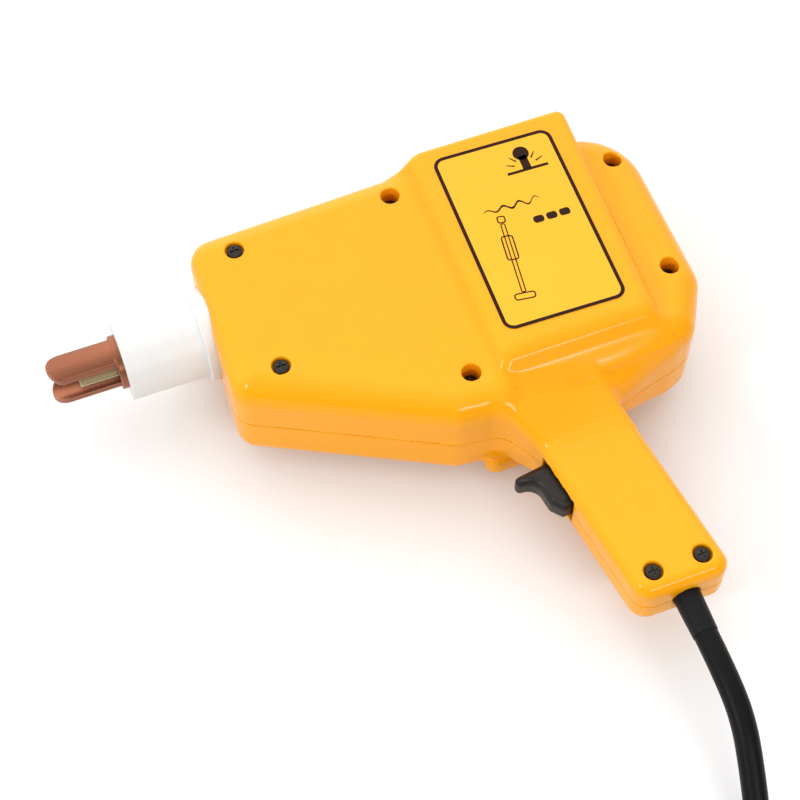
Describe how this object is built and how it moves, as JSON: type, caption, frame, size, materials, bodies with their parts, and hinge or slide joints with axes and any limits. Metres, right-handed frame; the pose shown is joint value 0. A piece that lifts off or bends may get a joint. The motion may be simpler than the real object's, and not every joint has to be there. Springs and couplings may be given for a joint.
{
  "type": "spot welder",
  "caption": "Pistol-grip spot welder for studs and dents: two-piece housing round a transformer, insulated copper earth fork, sprung stud electrode, trigger and mains cord.",
  "frame": {"origin": "on the flat face of the right transformer pad, on which the tool lies, straight below the barrel axis", "axes": "+X from the nose back along the barrel, +Y from the foot of the grip up to the top of the body, +Z out of the left side"},
  "size_m": [0.3225, 0.5437, 0.0844],
  "materials": {
    "yellow_plastic": "glossy moulded plastic with soft highlights",
    "black_screws": "black oxide, slightly worn at the cross",
    "label_film": "printed film with a satin coat",
    "white_insulator": "fine-turned white insulating plastic",
    "copper": "turned copper, satin, slightly tarnished",
    "bush_plastic": "turned insulating bush",
    "brass": "turned brass, satin",
    "spring_steel": "spring steel wire",
    "board": "laminated insulating board",
    "plated_steel": "zinc-plated steel",
    "core_steel": "varnished laminations",
    "bobbin_plastic": "moulded nylon",
    "winding_enamel": "enamelled copper wire",
    "wrap_tape": "winding tape",
    "trigger_plastic": "semi-matte moulded plastic",
    "black_plastic": "moulded plastic",
    "brown_lead": "lead insulation",
    "blue_lead": "lead insulation",
    "green_lead": "lead insulation",
    "cord_rubber": "semi-gloss cord sheath",
    "tie_strap": "woven hook-and-loop strap",
    "plug_plastic": "moulded plug",
    "plated_brass": "nickel-plated pins"
  },
  "bodies": {
    "root": {"left_shell": "yellow_plastic", "right_shell": "yellow_plastic", "nose_screws": "black_screws", "body_screws": "black_screws", "grip_screws": "black_screws", "label": "label_film", "nose_insulator": "white_insulator", "ground_fork": "copper", "guide_bush": "bush_plastic", "electrode_spring": "spring_steel", "spring_plate": "board", "fork_clamp": "copper", "clamp_bolts": "plated_steel", "fork_bus_bar": "copper", "electrode_bus_bar": "copper", "flexible_braid": "copper", "transformer_core": "core_steel", "core_straps": "plated_steel", "core_bolts": "plated_steel", "bobbin": "bobbin_plastic", "primary_winding": "winding_enamel", "winding_wrap": "wrap_tape", "secondary_winding": "copper", "thermal_cutout": "black_plastic", "switch_body": "black_plastic", "trigger_spring": "spring_steel", "switch_terminals": "brass", "live_lead": "brown_lead", "switched_lead": "brown_lead", "neutral_lead": "blue_lead", "earth_lead": "green_lead", "strain_relief": "cord_rubber", "cord_end": "cord_rubber", "cord_saddle": "black_plastic", "saddle_screws": "plated_steel", "mains_cord": "cord_rubber", "cord_tail": "cord_rubber", "cord_coil": "cord_rubber", "coil_tie": "tie_strap", "plug_body": "plug_plastic", "plug_pins": "plated_brass"},
    "electrode": {"stud_collet": "brass", "electrode_rod": "copper", "spring_clip": "spring_steel", "spring_ring": "spring_steel"},
    "trigger_group": {"trigger": "trigger_plastic", "switch_plunger": "black_plastic"}
  },
  "joints": [
    {"name": "electrode_slide", "type": "slide", "parent": "root", "child": "electrode", "axis": [1, 0, 0], "range_m": [0, 0.008], "stiffness_N_per_m": 2500, "springref_m": -0.004, "deforming": ["electrode_spring", "flexible_braid"]},
    {"name": "trigger_slide", "type": "slide", "parent": "root", "child": "trigger_group", "axis": [0.99, 0.1409, 0], "range_m": [0, 0.005], "stiffness_N_per_m": 800, "springref_m": -0.002, "deforming": ["trigger_spring"]}
  ]
}
